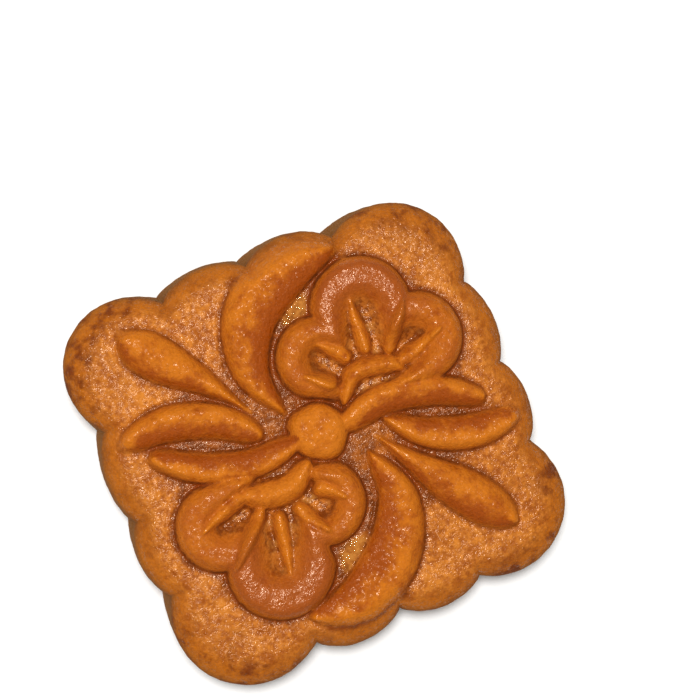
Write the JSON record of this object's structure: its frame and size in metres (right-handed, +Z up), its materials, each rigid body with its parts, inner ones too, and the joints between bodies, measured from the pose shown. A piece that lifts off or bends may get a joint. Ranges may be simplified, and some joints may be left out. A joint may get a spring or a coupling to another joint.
{
  "type": "mooncake",
  "caption": "Square baked mooncake with a scalloped rim and a pressed relief of blossoms, leaves and crescents on its top face.",
  "frame": {"origin": "centre of the flat base, on the surface the cake rests on", "axes": "+Z up through the pressed face; +X towards the side that two of the leaves point at; +Y towards the side that the upper crescent runs along"},
  "size_m": [0.0698, 0.0682, 0.0298],
  "materials": {
    "baked_crust": "satin"
  },
  "bodies": {
    "root": {"mooncake": "baked_crust"}
  },
  "joints": []
}
